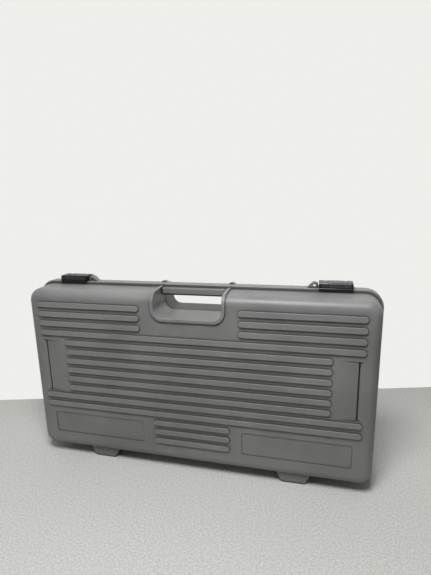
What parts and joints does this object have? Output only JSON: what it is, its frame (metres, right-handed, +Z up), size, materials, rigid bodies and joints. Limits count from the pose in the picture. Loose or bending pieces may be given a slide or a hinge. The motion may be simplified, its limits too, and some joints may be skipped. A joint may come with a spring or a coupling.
{
  "type": "guitar pedal case",
  "caption": "Ribbed moulded plastic carrying case for compact guitar pedals, with hinged lid, hand hole, flip latches, foam bed and junction box.",
  "frame": {"origin": "bottom centre of the overall box, on the floor under the hinge feet", "axes": "+X along the width, to the right as seen from the lid's side; +Z up towards the handle; the ribbed lid faces -Y"},
  "size_m": [0.6024, 0.1076, 0.3358],
  "materials": {
    "shell": "fine moulded grain",
    "latch": "glossy black moulding",
    "steel": "plated",
    "rubber": "matte",
    "foam": "open-cell foam",
    "box": "satin black",
    "board": "coated circuit board",
    "socket": "black moulding",
    "nut": "polished"
  },
  "bodies": {
    "base": {"base_shell": "shell", "latch_pin_right": "steel", "latch_pin_left": "steel", "hinge_pin_right": "steel", "hinge_pin_left": "steel", "foam_bed": "foam", "foam_divider_1": "foam", "foam_divider_2": "foam", "foam_divider_3": "foam", "foam_divider_4": "foam", "foam_divider_5": "foam", "rubber_foot_1": "rubber", "rubber_foot_2": "rubber", "rubber_foot_3": "rubber", "rubber_foot_4": "rubber", "foot_screws": "steel", "cover_screws": "steel", "fixing_screws": "steel", "junction_box": "box", "junction_box_cover": "box", "circuit_board": "board", "input_jack": "socket", "output_jack": "socket", "power_inlet": "socket", "power_outlet_1": "socket", "power_outlet_2": "socket", "power_outlet_3": "socket", "power_outlet_4": "socket", "power_outlet_5": "socket", "power_outlet_6": "socket", "jack_nuts": "nut"},
    "lid": {"lid_shell": "shell", "lid_pad": "foam"},
    "latch_right": {"latch_right": "latch"},
    "latch_left": {"latch_left": "latch"}
  },
  "joints": [
    {"name": "lid_hinge", "type": "hinge", "parent": "base", "child": "lid", "pos_m": [0, 0.00825, 0.007], "axis": [1, 0, 0], "range_deg": [0, 105]},
    {"name": "latch_right_pivot", "type": "hinge", "parent": "base", "child": "latch_right", "pos_m": [0.229, 0.01735, 0.3306], "axis": [-1, 0, 0], "range_deg": [0, 100]},
    {"name": "latch_left_pivot", "type": "hinge", "parent": "base", "child": "latch_left", "pos_m": [-0.229, 0.01735, 0.3306], "axis": [-1, 0, 0], "range_deg": [0, 100]}
  ]
}
